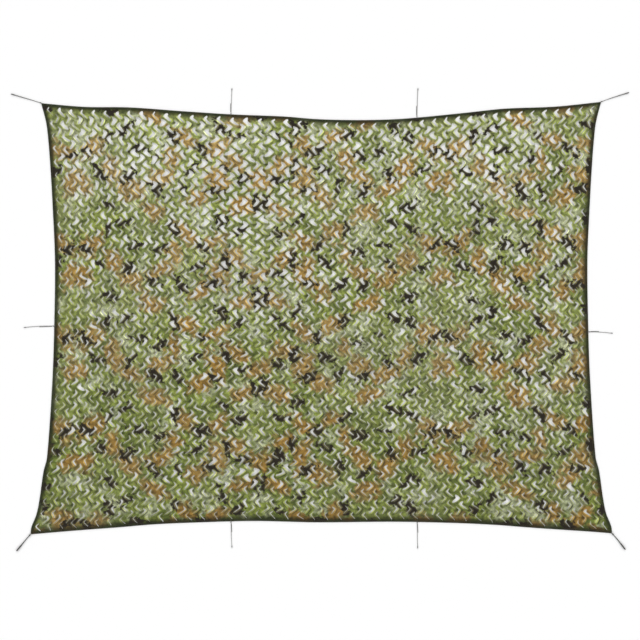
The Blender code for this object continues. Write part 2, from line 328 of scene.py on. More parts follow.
def twisted(points, radius, ends, opened=1.0):
    """A grid round a path, three twisted strands that are drawn in at both ends, and how much painted shade
    each point gets between the strands.

    The strands open out evenly to so many times the radius, and are flat where they lie on the floor.
    """
    reach = reach_along(points)
    turn = reach / (LAY_LENGTH * 2 * radius) * 2 * math.pi
    wider = 1 + (opened - 1) * soft_step(reach / reach[-1])
    angles, ring = rings_round(points, ROPE_SIDES)
    third = 2 * math.pi / STRANDS
    off_strand = (angles - turn[:, None] + third / 2) % third - third / 2
    across = (STRAND_RADIUS**2 - (STRAND_CENTRE * np.sin(off_strand)) ** 2).clip(0)
    outline = STRAND_CENTRE * np.cos(off_strand) + np.sqrt(across)
    # How far into a groove each point lies, for the painted shade.
    groove = np.clip((GROOVE_RIM - outline) / GROOVE_DEPTH, 0, 1)
    outline = np.maximum(outline, GROOVE_FLOOR)
    drawn = 1.0
    for end, away in zip(ends, (reach, reach[-1] - reach)):
        drawn = np.minimum(drawn, end + (1 - end) * np.sqrt(np.clip(away / radius, 0, 1)))
    size = radius * outline * (drawn * wider)[:, None]
    grid = points[:, None] + ring * size[:, :, None]
    grid[..., 2] = np.maximum(grid[..., 2], FLOOR_CLEARANCE)
    return grid, groove


def wound(route, start, end, radius, thread):
    """A cord wound side by side round the route from one distance to another, out to a knot's radius."""
    turns = (end - start - 2 * thread) / (WOUND_PITCH * thread)
    count = math.ceil(turns * 2 * math.pi * (radius - thread) / (WOUND_STEP * 2 * thread))
    axis = route.at(np.linspace(start + thread, end - thread, count))
    sides, ups = sides_along(axis)
    angle = np.linspace(0, turns * 2 * math.pi, count)
    reach = (radius - thread) * np.minimum(1, TUCKED + np.minimum(angle, angle[-1] - angle) / TUCK_TURN)
    return axis + (sides * np.cos(angle)[:, None] + ups * np.sin(angle)[:, None]) * reach[:, None]


def build_piece(name, grids, material, groove_shades=None):
    """One mesh from grids of points, each closed round its second axis and capped at both ends.

    Its map lays the grids out in square cells, side by side.
    """
    vertices, faces, corners, shades = [], [], [], []
    cells = math.ceil(math.sqrt(len(grids)))

    def in_cell(cell, margin, share):
        return (cell + margin + (1 - 2 * margin) * share) / cells

    for number, grid in enumerate(grids):
        rows, columns = grid.shape[:2]
        base = len(vertices)
        vertices.extend(grid.reshape(-1, 3).tolist())
        shades.extend([0.0] * rows * columns if groove_shades is None else groove_shades[number].ravel().tolist())
        cell_v, cell_u = divmod(number, cells)
        for row in range(rows - 1):
            near = base + row * columns
            far = near + columns
            for column in range(columns):
                after = (column + 1) % columns
                faces.append((near + column, near + after, far + after, far + column))
                low, high = (in_cell(cell_u, MAP_END, step / (rows - 1)) for step in (row, row + 1))
                left, right = (in_cell(cell_v, MAP_SIDE, step / columns) for step in (column, column + 1))
                corners.extend(((low, left), (low, right), (high, right), (high, left)))
        for row, way in ((0, -1), (rows - 1, 1)):
            faces.append([base + row * columns + column for column in range(columns)][::way])
            u, v = in_cell(cell_u, 0, 0.5), in_cell(cell_v, MAP_CAP_MARGIN, row / (rows - 1))
            radius = MAP_CAP / cells
            turns = [2 * math.pi * column / columns for column in range(columns)][::way]
            corners.extend((u + radius * math.cos(t), v + radius * math.sin(t)) for t in turns)
    mesh = bpy.data.meshes.new(name)
    mesh.from_pydata(vertices, [], faces)
    mesh.uv_layers.new(name="OFBake").data.foreach_set("uv", np.array(corners, np.float32).ravel())
    mesh.attributes.new("groove", "FLOAT", "POINT").data.foreach_set("value", np.array(shades, np.float32))
    mesh.shade_smooth()
    mesh.set_sharp_from_angle(angle=math.radians(SHARP_ANGLE))
    mesh.materials.append(material)
    piece = placed(name, mesh)
    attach(piece, "root")
    return piece


cord_material = cord_finish("tie_cord", CORD_COLOUR, CORD_FADED)
knot_material = cord_finish("tie_knot", KNOT_COLOUR, KNOT_FADED)
for tie in TIES:
    route = Route(tie)
    cord = tie.diameter / 2
    root = cord * ROOT_KNOT_SCALE

    # The cord itself, from the tape to its tip.
    along = spaced(CORD_START, route.length, ROPE_STEP * tie.diameter)
    grid, groove = twisted(route.at(along), cord, CORD_ENDS, tie.opened)
    dyed = knot_material if "bottom" in tie.name and tie.opened > 1 else cord_material
    cord_piece = build_piece(f"tie_{tie.name}", [grid], dyed, [groove])
    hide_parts(f"cord_{tie.name}")

    # The knot at the tape: the leg that is sewn down over the tape, and turns round the cord beside it.
    leg_path = route.at(spaced(-ROOT_LEG, CORD_START, ROPE_STEP * tie.diameter))
    thread = cord * ROOT_THREAD
    wrap_path = wound(route, GAP, GAP + ROOT_KNOT_LENGTH * root + cord, root, thread)
    grids, groove_shades = zip(twisted(leg_path, cord, WRAP_ENDS), twisted(wrap_path, thread, WRAP_ENDS))
    root_piece = build_piece(f"root_wrap_{tie.name}", grids, cord_material, groove_shades)
    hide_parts(f"root_knot_{tie.name}")

    # The wound knot near the free end.
    thread = cord * END_THREAD
    end = route.length - END_STUB + thread
    path = wound(route, route.length - tie.knot_length, end, tie.knot_diameter / 2, thread)
    grid, groove = twisted(path, thread, WRAP_ENDS)
    end_piece = build_piece(f"end_wrap_{tie.name}", [grid], knot_material, [groove])
    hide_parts(f"end_knot_{tie.name}")

    route.at(CORD_START)[0]
    route.at(np.linspace(CORD_START, route.length, ROUTE_POINTS))

    if tie.tail_length:
        # The tail beside the cord, sealed at its cut end.
        along = spaced(route.root_end, route.root_end + tie.tail_length, ROPE_STEP * tie.diameter)
        opened = soft_step((along - along[0]) / tie.tail_length)
        offset = tie.diameter * (1 + TAIL_SPREAD * opened) + GAP
        path = route.at(along) + route.beside * offset[:, None]
        path[:, 2] = cord + FLOOR_CLEARANCE
        grid, groove = twisted(path, cord, TAIL_ENDS)
        tail_piece = build_piece(f"tie_tail_{tie.name}", [grid], cord_material, [groove])
        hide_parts(f"tail_{tie.name}")

# Net: one thin polyester cloth, printed with woodland camouflage and slit in staggered rows of hooked cuts
# that lean one way and then the other. Pulled wide, each cut gapes into a small leaf-shaped opening, and the
# tongue beside it curls up. The cloth's edges lie inside the folded tape.
TOP_LEFT = (-1.960, 1.504)
TOP_RIGHT = (1.958, 1.513)
BOTTOM_LEFT = (-2.035, -1.513)
BOTTOM_RIGHT = (2.035, -1.506)
# Each edge is drawn in: pairs of the way along it and how far inwards it lies there.
TOP_DRAW = (
    (0.00, 0.000), (0.30, 0.026), (0.62, 0.031), (1.00, 0.059), (1.35, 0.082),
    (1.70, 0.097), (1.95, 0.117), (2.26, 0.123), (2.54, 0.114), (2.96, 0.075),
    (3.24, 0.046), (3.60, 0.032), (3.92, 0.000),
)
BOTTOM_DRAW = (
    (0.00, 0.000), (0.30, 0.025), (0.60, 0.047), (0.87, 0.069), (1.15, 0.081),
    (1.57, 0.091), (2.00, 0.081), (2.54, 0.084), (2.96, 0.075), (3.25, 0.061),
    (3.52, 0.040), (3.94, 0.011), (4.07, 0.000),
)
SIDE_DRAW = (
    (0.00, 0.000), (0.13, 0.037), (0.23, 0.053), (0.43, 0.074), (0.72, 0.098),
    (1.11, 0.124), (1.60, 0.130), (1.95, 0.126), (2.48, 0.102), (2.58, 0.080),
    (2.78, 0.056), (2.88, 0.038), (2.97, 0.005), (3.02, 0.000),
)
CLOTH_INSET = 0.006  # from the fold of the tape to the cloth's edge
SLOT_LEVEL = 0.0023  # the cloth's height inside the tape
HALF_SIZE = (2.035, 1.513)

COLUMNS = 45  # cuts across the net
ROWS = 68  # half repeats down it, so that every second row of cuts stands in line
PITCH_ACROSS = 0.0854
PITCH_DOWN = 0.0427
# Pairs of the share of the way across or down and the pitch there, against the mean.
COLUMN_PITCHES = (
    (0.00, 0.92), (0.10, 0.94), (0.22, 1.03), (0.32, 1.10), (0.43, 1.08),
    (0.55, 0.99), (0.68, 0.97), (0.80, 1.02), (0.90, 0.98), (1.00, 0.95),
)
ROW_PITCHES = (
    (0.00, 1.02), (0.12, 1.03), (0.30, 0.97), (0.45, 1.01), (0.60, 0.98),
    (0.80, 1.02), (1.00, 1.00),
)
FINE_STEPS = 40  # to a pitch, for adding pitches up
WANDER = 0.005  # how far the rows and columns wander
WANDER_LENGTH = 0.55
WANDER_REACH = 0.3  # from the cloth's edge to their full wander
WANDER_SEEDS = (3, 4)
WAVES = 7  # in an uneven field
WAVES_ADD_TO = 2.6

# A cut runs from its hooked tip, round a soft corner, to its long tip. Millimetres from its middle.
CUT_TOP = 32.0
CUT_BOTTOM = -34.5
CUT_CORNER = (-13.5, 8.0)
CUT_SLOPE = 0.86  # of both its arms, across for each step down
CORNER_SOFTNESS = 4.0
MAKE_ROOM = 10.0  # how far the diamond's side is pushed out beyond the long tip
LEAST_STRIP = 1.5  # of cloth from a cut to the side of its diamond
LEAST_STEP = 0.3  # of mesh from one point round a cut to the next
SIDE_STEPS = 6  # of mesh along each side of the diamond of cloth round a cut
ROUND_STEPS = 4 * SIDE_STEPS
OUTSIDE_STEPS = 14  # of these, the ones that meet the outside of the cut
# The rings of mesh round a cut: how far out each is, but at most what share of the way to the diamond, then
# how much painted shade it has, how much painted shade on the tongue, and how much painted highlight.
RINGS = (
    (0.0, 0.00, 0.0, 0.2, 1.0),
    (5.0, 0.30, 0.0, 0.4, 1.0),
    (9.0, 0.52, 0.9, 0.9, 0.2),
    (14.0, 0.78, 0.8, 0.6, 0.0),
)

# How wide the cuts gape, in millimetres, and the oval patches where the cloth is slack or tight: each one's
# middle, half its length and width, its turn in degrees and what it adds.
GAPE = 14.5
TOP_GAPE = 4.5
TOP_REACH = 0.50
LOW_GAPE = -3.5
CUT_SEED = 11
GAPE_SCATTER = 0.33
LEAST_GAPE = 6.525
MOST_GAPE = 34.0
OPEN_FULLNESS = 3
OPEN_TIPS = 0.6
TURN_SCATTER = 0.11
WIDTHS = (0.80, 1.12)
HEIGHTS = (0.84, 1.04)
ACROSS_SCATTER = 1.7
DOWN_SCATTER = 2.0
TIGHT_SHARE = 0.45  # of it at the cloth's edges
TIGHT_REACH = 0.16
TIGHT_REACH_AT_TOP = 0.05
SLACKS = (
    (-0.57, 0.97, 0.75, 0.70, 0, 13.0),
    (1.05, 1.20, 0.60, 0.55, 0, 11.0),
    (-1.30, 1.22, 0.55, 0.45, 0, 11.0),
    (-0.35, 0.22, 1.00, 0.34, 0, 6.0),
    (1.30, 0.30, 0.60, 0.40, 0, 4.0),
    (-0.40, -0.38, 0.80, 0.40, 0, -3.5),
    (-0.57, -1.10, 0.70, 0.30, 0, 3.0),
    (1.45, -0.70, 0.50, 0.60, 0, 2.5),
)

# Heights. The cloth lies in low swells and, between the cuts, in shallow upright ribs.
LIE = 0.0088
RIB = 0.0010
RUMPLE = 0.0010
RUMPLE_LENGTH = 0.30
RUMPLE_SEED = 5
DROOP = 0.0055  # of a cut's outer edge, and its share at the hooked and at the long tip
HOOK_DROOP = -0.7
TIP_DROOP = -1.2
LIFT = 0.0025  # of its inner edge
TONGUE = 0.0035  # rise of the tongue inside a cut's hook, over that
TONGUE_SCATTER = 0.35
TONGUE_SIZES = (0.3, 1.6)
EDGE_FULLNESS = 0.7  # of the rise and fall along an edge, 0 for all at once
EDGE_FALL = 1.6  # how fast the edges flatten out away from a cut
TONGUE_FALL = 2.6
TONGUE_PLACE = 0.40  # along the cut from its hooked tip
TONGUE_SPREAD = 0.24
LOWEST = 0.0004
HIGHEST = 0.0205
HIGHLIGHTS = (0.5, 1.0)  # how strong the painted highlight on the cut edges is
SHADE_STRENGTHS = (0.25, 1.0)  # how strong the painted shade at each cut's curled edges is
FLAT_EDGE = 0.012  # the cloth lies flat this far in from its edge
LOOSE_EDGE = 0.040  # and rises to its height over this much
HEM_SHADE_REACH = 0.042  # how far in the painted shade along the stitched edges reaches
# how strong that painted shade is
HEM_SHADE = 0.95
# How strongly the curled tongue and the drooping outer edge of a cut take painted shade.
TONGUE_SHADE_GAIN = 1.1
OUTER_EDGE_SHADE_GAIN = 1.3
TONGUE_HIGHLIGHT_CUT = 0.9  # how much less painted highlight its curled tongue gets
SWELLS = (
    (-0.62, 0.98, 0.85, 0.26, 4, 0.0040),
    (-0.60, 0.28, 0.70, 0.30, -6, 0.0034),
    (1.05, 0.62, 0.75, 0.28, 9, 0.0030),
    (-1.40, -0.35, 0.30, 0.80, 5, 0.0028),
    (0.45, -0.30, 0.90, 0.24, -3, 0.0034),
    (-0.55, -0.98, 0.80, 0.25, 5, 0.0038),
    (1.25, -0.95, 0.60, 0.28, -8, 0.0030),
)
BANDS = 5  # the net is kept as this many meshes, which meet along rows of cuts
MAP_OVERLAP = 0.01
MAP_MARGIN = 0.01

# The print: bands of brown with ochre middles and near-black branches, on mixed greens. It repeats down the
# cloth, in passes MIRROR wide that are turned over against each other. Metres in its repeat.
REPEAT_DOWN = 0.65
MIRROR = 1.28
MIRROR_LINE = -0.43  # where one pass meets the next
# Each blotch is an oval too.
BROWN_BLOTCHES = (
    (0.30, 0.32, 0.112, 0.066, 70), (0.42, 0.20, 0.095, 0.061, -35), (0.17, 0.42, 0.095, 0.055, 30),
    (0.30, 0.56, 0.103, 0.048, -30), (0.52, 0.60, 0.086, 0.055, 35), (0.60, 0.46, 0.077, 0.050, 80),
    (0.70, 0.33, 0.103, 0.063, -25), (0.90, 0.27, 0.095, 0.066, 40), (1.02, 0.40, 0.086, 0.063, 85),
    (1.18, 0.52, 0.103, 0.063, -40), (1.24, 0.30, 0.077, 0.055, 60), (0.75, 0.10, 0.103, 0.050, 25),
    (0.12, 0.12, 0.103, 0.050, -15), (0.03, 0.30, 0.069, 0.055, 80),
)
BLACK_WIDTH = 0.028
BLACK_BLOTCHES = [(*blotch[:3], BLACK_WIDTH, blotch[3]) for blotch in (
    (0.24, 0.40, 0.067, 75), (0.45, 0.38, 0.059, -40), (0.33, 0.24, 0.063, 10), (0.56, 0.24, 0.059, 60),
    (0.14, 0.61, 0.059, -35), (0.40, 0.52, 0.063, 35), (0.60, 0.63, 0.055, 65), (0.85, 0.52, 0.063, 0),
    (1.06, 0.62, 0.055, -60), (1.22, 0.50, 0.059, 25), (0.03, 0.15, 0.059, 80), (0.12, 0.31, 0.055, -15),
    (0.73, 0.24, 0.067, 45), (0.91, 0.36, 0.059, -65), (1.05, 0.14, 0.059, 15), (1.12, 0.37, 0.055, 30),
    (0.70, 0.48, 0.055, -25), (0.27, 0.05, 0.055, 50), (0.94, 0.02, 0.055, -30),
)]
SWAYS = ((6.0, 0.16), (26.0, 0.07))  # the print's outlines wander: waves to the metre, and how far
MERGING = 0.25  # how softly two blotches join
INK = 0.95  # how fully brown and ochre cover the greens
MID_GREEN = (0.128, 0.168, 0.029)
YELLOW_GREEN = (0.215, 0.265, 0.046)
GREY_GREEN = (0.370, 0.405, 0.235)
BROWN = (0.234, 0.174, 0.044)
OCHRE = (0.306, 0.176, 0.032)
NEAR_BLACK = (0.012, 0.008, 0.003)
HIGHLIGHT_COLOUR = (0.238, 0.222, 0.110)  # the painted highlight added at the cut edges
FADED = (0.410, 0.405, 0.250)
SHADE_MULTIPLIER = (0.110, 0.105, 0.050)  # the share of its colour that the painted shade keeps
THREAD_PITCH = 0.0011


class Edge:
    """One drawn-in edge of the outline, from its first corner to its second."""

    def __init__(self, first, second, draws):
        self.first = np.array(first)
        self.second = np.array(second)
        self.draws = np.array(draws)
        straight = self.second - self.first
        self.length = np.linalg.norm(straight)
        self.inward = np.array((-straight[1], straight[0])) / self.length
        if self.inward.dot(self.first + self.second) > 0:
            self.inward = -self.inward

    def points(self, share):
        share = np.atleast_1d(share)
        inwards = smooth_between(*self.draws.T, share * self.draws[-1, 0])
        return self.first + np.outer(share, self.second - self.first) + np.outer(inwards, self.inward)


EDGES = {
    "top": Edge(TOP_LEFT, TOP_RIGHT, TOP_DRAW),
    "bottom": Edge(BOTTOM_LEFT, BOTTOM_RIGHT, BOTTOM_DRAW),
    "left": Edge(TOP_LEFT, BOTTOM_LEFT, SIDE_DRAW),
    "right": Edge(TOP_RIGHT, BOTTOM_RIGHT, SIDE_DRAW),
}


def ripple(x, y, length, seed):
    """A smooth uneven field, about -1 to 1, of waves that are about this long."""
    waves = np.random.default_rng(seed).uniform((0, 0.7, 0), (math.pi, 1.5, 2 * math.pi), (WAVES, 3))
    total = np.zeros(np.shape(x))
    for turn, stretch, phase in waves:
        total += np.sin((x * math.cos(turn) + y * math.sin(turn)) * 2 * math.pi / (length * stretch) + phase)
    return total / WAVES_ADD_TO


def spread_shares(count, pitches):
    """Where the lines 0 to count of the pattern stand, as shares of the way across."""
    fine = np.linspace(0, 1, FINE_STEPS * count + 1)
    pitch = smooth_between(*zip(*pitches), fine)
    reach = totals((pitch[1:] + pitch[:-1]) / 2)
    return fine * count, reach / reach[-1]


def laid_out(column, row):
    """Where a point of the pattern lies on the floor, and how far it is from the cloth's edge."""
    across = np.interp(column, *spread_shares(COLUMNS, COLUMN_PITCHES))
    down = np.interp(row, *spread_shares(ROWS, ROW_PITCHES))
    a, d = across[:, None], down[:, None]
    between_rows = EDGES["top"].points(across) * (1 - d) + EDGES["bottom"].points(across) * d
    between_columns = EDGES["left"].points(down) * (1 - a) + EDGES["right"].points(down) * a
    top = (1 - a) * TOP_LEFT + a * TOP_RIGHT
    bottom = (1 - a) * BOTTOM_LEFT + a * BOTTOM_RIGHT
    flat = between_rows + between_columns - top * (1 - d) - bottom * d
    flat *= 1 - CLOTH_INSET / np.array(HALF_SIZE)
    from_side = np.minimum(column, COLUMNS - column) * PITCH_ACROSS
    from_end = np.minimum(row, ROWS - row) * PITCH_DOWN
    from_edge = np.minimum(from_side, from_end)
    wander = WANDER * soft_step((from_edge - FLAT_EDGE) / WANDER_REACH)
    shifts = [ripple(*flat.T, WANDER_LENGTH, seed) for seed in WANDER_SEEDS]
    return flat + np.stack(shifts, 1) * wander[:, None], from_edge


def patchy(x, y, patches):
    """What some patches add in all, each its amount in its middle and nothing at its rim."""
    total = 0
    for middle_x, middle_y, half_length, half_width, turn_degrees, amount in patches:
        turn = math.radians(turn_degrees)
        dx = x - middle_x
        dy = y - middle_y
        along = (dx * math.cos(turn) + dy * math.sin(turn)) / half_length
        across = (dy * math.cos(turn) - dx * math.sin(turn)) / half_width
        total = total + amount * soft_step(1 - np.hypot(along, across))
    return total


def round_the_cell():
    """The steps from a cell's middle to the points on its diamond, from the top round by the left."""
    s = SIDE_STEPS
    quarter = np.arange(s)
    a = np.concatenate((-quarter, quarter - s, quarter, s - quarter))
    b = np.concatenate((quarter - s, quarter, s - quarter, -quarter))
    return np.stack((a, b), 1)


def cell_middles():
    """The column and row of each cut, odd rows half a pitch over from even ones."""
    middles = []
    for row in range(1, ROWS):
        first = 0.5 if row % 2 else 1.0
        middles.extend((first + step, row) for step in range(COLUMNS if row % 2 else COLUMNS - 1))
    return np.array(middles)


def edge_triangles():
    """The half and quarter diamonds without a cut along the cloth's four edges, as corners in mesh steps."""
    s = SIDE_STEPS
    far = COLUMNS * 2 * s
    deep = ROWS * s
    triangles = []
    for middle in range(2 * s, far, 2 * s):
        triangles.append(((middle - s, 0), (middle, s), (middle + s, 0)))
        triangles.append(((middle - s, deep), (middle + s, deep), (middle, deep - s)))
    for middle in range(2 * s, deep, 2 * s):
        triangles.append(((0, middle - s), (0, middle + s), (s, middle)))
        triangles.append(((far, middle - s), (far - s, middle), (far, middle + s)))
    triangles += [((0, 0), (0, s), (s, 0)), ((far, 0), (far - s, 0), (far, s))]
    triangles += [((0, deep), (s, deep), (0, deep - s)), ((far, deep), (far, deep - s), (far - s, deep))]
    return np.array(triangles)


def filled_triangle(corners):
    """The small triangles that fill a triangle whose sides have as many steps as a cell's."""
    first, second, third = corners
    one = (second - first) // SIDE_STEPS
    other = (third - first) // SIDE_STEPS
    faces = []
    for i in range(SIDE_STEPS):
        for j in range(SIDE_STEPS - i):
            spot = first + one * i + other * j
            faces.append((spot, spot + one, spot + other))
            if i + j < SIDE_STEPS - 1:
                faces.append((spot + one, spot + one + other, spot + other))
    return faces


def gaping_cuts(middles, draw):
    """Each cut's points, in millimetres from its middle, their curl, tilt and painted highlight, and how
    strong its painted shade is.
    """
    flat = laid_out(*middles.T)[0]
    each = (len(flat), 1)
    column, row = middles.T
    down = row / ROWS
    gape = GAPE + TOP_GAPE * soft_step(1 - down / TOP_REACH) + LOW_GAPE * soft_step(down * 2 - 1)
    gape = gape + patchy(*flat.T, SLACKS)
    from_side = np.minimum(column, COLUMNS - column) * PITCH_ACROSS / TIGHT_REACH
    from_end = np.minimum(row / TIGHT_REACH_AT_TOP, (ROWS - row) / TIGHT_REACH) * PITCH_DOWN
    gape = gape * (TIGHT_SHARE + (1 - TIGHT_SHARE) * soft_step(np.minimum(from_side, from_end)))
    gape = gape * np.exp(GAPE_SCATTER * draw.normal(0, 1, len(flat)))
    gape = np.clip(gape, LEAST_GAPE, MOST_GAPE)[:, None]

    # Round the cut: down its outside and back up its inside.
    step = np.arange(ROUND_STEPS)
    outside = step < OUTSIDE_STEPS
    t = np.where(outside, step / OUTSIDE_STEPS, (ROUND_STEPS - step) / (ROUND_STEPS - OUTSIDE_STEPS))
    cut_y = CUT_TOP + (CUT_BOTTOM - CUT_TOP) * t
    bend = np.hypot(cut_y - CUT_CORNER[1], CORNER_SOFTNESS) - CORNER_SOFTNESS
    cut_x = CUT_CORNER[0] + CUT_SLOPE * bend
    open_by = gape * (1 - np.abs(2 * t - 1) ** OPEN_FULLNESS) ** OPEN_TIPS
    around_x = cut_x + open_by * np.where(outside, -0.5, 0.5)
    around_y = np.broadcast_to(cut_y, around_x.shape)
    turn = draw.normal(0, TURN_SCATTER, each)
    around_x, around_y = around_x - around_y * turn, around_y + around_x * turn
    around_x = around_x * draw.uniform(*WIDTHS, each) + draw.normal(0, ACROSS_SCATTER, each)
    around_y = around_y * draw.uniform(*HEIGHTS, each) + draw.normal(0, DOWN_SCATTER, each)
    arch = np.abs(np.sin(math.pi * t))
    # painted highlight along the cut edges, strongest in the middle of each side
    highlight = arch**EDGE_FULLNESS * draw.uniform(*HIGHLIGHTS, each)
    # how strong the painted shade round this cut is
    fold = draw.uniform(*SHADE_STRENGTHS, each)
    curl = np.exp(-(((t - TONGUE_PLACE) / TONGUE_SPREAD) ** 2)) * np.sqrt(arch)
    curl = np.where(outside, 0, curl) * np.clip(1 + TONGUE_SCATTER * draw.normal(0, 1, each), *TONGUE_SIZES)
    tilt = arch**EDGE_FULLNESS * np.where(outside, HOOK_DROOP + (TIP_DROOP - HOOK_DROOP) * t, 1)
    tilt = np.broadcast_to(tilt, curl.shape)

    # Every second row leans the other way.
    mirrored = middles[:, 1:] % 2 == 0
    back = -step % ROUND_STEPS
    around = (around_x * np.where(mirrored, -1, 1), around_y, curl, tilt, highlight)
    return [np.where(mirrored, values[:, back], values) for values in around], fold


def kept_clear(cuts, starts, ends, least):
    """The points round each cut, moved square to their own line from start to end until they clear it."""
    line = ends - starts
    inward = np.stack((line[..., 1], -line[..., 0]), 2) / np.linalg.norm(line, axis=2)[..., None]
    depth = ((cuts - starts) * inward).sum(2)
    return cuts + inward * np.maximum(least - depth, 0)[..., None]


def kept_inside(cuts, rims):
    """The points round each cut, moved to lie inside its diamond and in their order round it."""
    before = np.roll(rims, 1, axis=1)
    after = np.roll(rims, -1, axis=1)
    cuts = kept_clear(cuts, rims, after, LEAST_STRIP)
    cuts = kept_clear(cuts, before, rims, LEAST_STRIP)
    cuts = kept_clear(cuts, np.roll(cuts, 1, axis=1), before, LEAST_STEP)
    return kept_clear(cuts, after, np.roll(cuts, -1, axis=1), LEAST_STEP)


def net_mesh():
    """The net's points, both kinds of its faces with their rows, and how much painted shade and painted
    highlight each point has.
    """
    middles = cell_middles()
    around, fold = gaping_cuts(middles, np.random.default_rng(CUT_SEED))
    around_x, around_y, around_curl, around_tilt, around_highlight = around
    count = len(middles)

    steps = np.round(middles * (2 * SIDE_STEPS, SIDE_STEPS)).astype(int)
    rims = (steps[:, None] + round_the_cell()[None]).reshape(-1, 2)
    solid = np.array([face for corners in edge_triangles() for face in filled_triangle(corners)])
    solid_rows = np.round(solid[:, 0, 1] / SIDE_STEPS)
    keys, where = np.unique(np.concatenate((rims, solid.reshape(-1, 2))), axis=0, return_inverse=True)
    where = where.ravel()
    rim_index = where[: len(rims)].reshape(count, ROUND_STEPS)
    solid_faces = where[len(rims) :].reshape(-1, 3)

    # Shared points first, then the rings round every cut, all in millimetres on the closed pattern.
    pitches = np.array((PITCH_ACROSS, PITCH_DOWN)) * 1000
    column, row = (keys / (2 * SIDE_STEPS, SIDE_STEPS)).T
    room = MAKE_ROOM * (np.sin(math.pi * (column - 0.25)) * np.sin(math.pi * row)) ** 2
    room *= soft_step(2 * np.minimum(column, COLUMNS - column))
    lean = np.where(np.floor(row) % 2 == 1, 1, -1)
    shared = np.stack((column, row), 1) * pitches + np.stack((room * lean, room), 1)
    rim = shared[rim_index]
    cuts = kept_inside(middles[:, None] * pitches + np.stack((around_x, -around_y), 2), rim)
    away = np.linalg.norm(rim - cuts, axis=2)
    reach, most, shade, tongue_shade, ring_highlight = np.array(RINGS).T[:, None, :, None]
    shares = np.minimum(reach / np.maximum(away[:, None], 1.0), most)
    rings = cuts[:, None] * (1 - shares[..., None]) + rim[:, None] * shares[..., None]
    column, row = (np.concatenate((shared, rings.reshape(-1, 2))) / pitches).T
    whole = np.ones_like(shares)

    def with_rims(values):
        return np.concatenate((np.zeros(len(keys)), (values * whole).reshape(-1)))

    nearness = with_rims(1 - shares)
    curl = with_rims(around_curl[:, None])
    tilt = with_rims(around_tilt[:, None])
    dark = with_rims(shade * fold[:, None])
    tongue_dark = with_rims(tongue_shade)
    pale = with_rims(ring_highlight * around_highlight[:, None])

    flat, from_edge = laid_out(column, row)
    loose = soft_step((from_edge - FLAT_EDGE) / LOOSE_EDGE)
    height = LIE + RIB * np.sin(2 * math.pi * column) + RUMPLE * ripple(*flat.T, RUMPLE_LENGTH, RUMPLE_SEED)
    height = height + patchy(*flat.T, SWELLS)
    height = height + np.where(tilt > 0, LIFT, DROOP) * tilt * nearness**EDGE_FALL
    height = height + TONGUE * curl * nearness**TONGUE_FALL
    height = SLOT_LEVEL + (np.clip(height, LOWEST, HIGHEST) - SLOT_LEVEL) * loose
    # Painted shade on each cut's curled tongue and on its drooping outer edge.
    creased = TONGUE_SHADE_GAIN * curl * tongue_dark + OUTER_EDGE_SHADE_GAIN * np.maximum(-tilt, 0) * dark
    creased = np.clip(creased, 0, 1) * loose
    # Painted shade along the stitched edges of the cloth.
    creased = np.maximum(creased, HEM_SHADE * soft_step(1 - (from_edge - FLAT_EDGE) / HEM_SHADE_REACH))
    # Painted highlight at the cut edges, less on the curled tongue.
    pale = pale * loose * np.clip(1 - TONGUE_HIGHLIGHT_CUT * curl, 0, 1)

    inside = len(keys) + np.arange(shares.size).reshape(shares.shape)
    index = np.concatenate((inside, rim_index[:, None]), 1)
    after = np.roll(index, -1, axis=2)
    quads = np.stack((index[:, :-1], index[:, 1:], after[:, 1:], after[:, :-1]), 3).reshape(-1, 4)
    quad_rows = np.repeat(middles[:, 1], shares[0].size)
    return np.column_stack((flat, height)), ((quads, quad_rows), (solid_faces, solid_rows)), creased, pale


def printed(finish, place):
    """Woodland camouflage in wandering outlines: the colour of its greens and browns, and its black parts."""
    swayed = place
    for per_metre, metres in SWAYS:
        sway = finish.vector("SUBTRACT", finish.grain(place, per_metre, output=1), (0.5, 0.5, 0.5))
        swayed = finish.vector("MULTIPLY_ADD", sway, (metres, metres, 0.0), swayed)
    turned_over = (finish.part(swayed, 0) - MIRROR_LINE).math("PINGPONG", MIRROR)
    in_repeat = finish.node("ShaderNodeCombineXYZ", None, {"X": turned_over, "Y": finish.part(swayed, 1)})

    def near(blotches):
        nearest = None
        half = (4 * MIRROR, REPEAT_DOWN / 2, 1.0)
        for x, y, half_length, half_width, turn_degrees in blotches:
            off = finish.vector("SUBTRACT", in_repeat, (x, y, 0.0))
            off = finish.vector("WRAP", off, half, [-h for h in half])
            turn = (0.0, 0.0, math.radians(turn_degrees))
            inputs = {"Vector": off, "Rotation": turn, "Scale": (half_length, half_width, 1.0)}
            turned = finish.node("ShaderNodeMapping", {"vector_type": "TEXTURE"}, inputs)
            away = finish.vector("LENGTH", turned, output=1)
            nearest = away if nearest is None else nearest.math("SMOOTH_MIN", away, MERGING)
        return 1 - nearest

    ragged = finish.grain(place, 24.0, 3.0, 0.6) - 0.5
    flecked = finish.grain(place, 55.0, 2.0) - 0.5
    brown = near(BROWN_BLOTCHES)
    pale = ((finish.grain(place, 5.0, 4.0, 0.6) - 0.5) * 11).held()
    elsewhere = finish.vector("ADD", place, (3.1, 1.7, 0.4))
    yellow = ((finish.grain(elsewhere, 14.0, 4.0, 0.6) - 0.5) * 18).held()
    colour = finish.blend(pale, MID_GREEN, GREY_GREEN)
    colour = finish.blend(yellow, colour, YELLOW_GREEN)
    colour = finish.blend(((brown + 2.4 * ragged + 0.12) * 4 + 0.5).held() * INK, colour, BROWN)
    ochre = brown + 2.0 * ragged + 1.6 * flecked - 0.28
    colour = finish.blend((ochre * 6 + 0.5).held() * INK, colour, OCHRE)
    return colour, ((near(BLACK_BLOTCHES) + 3.0 * flecked + 0.02) * 9 + 0.5).held()


def woven(finish, place):
    """The height of a plain weave: rows of threads that pass over and under each other."""
    waves = [(finish.part(place, axis) * (2 * math.pi / THREAD_PITCH)).math("SINE") for axis in (0, 1)]
    return waves[0] * waves[1] * 0.5 + 0.5


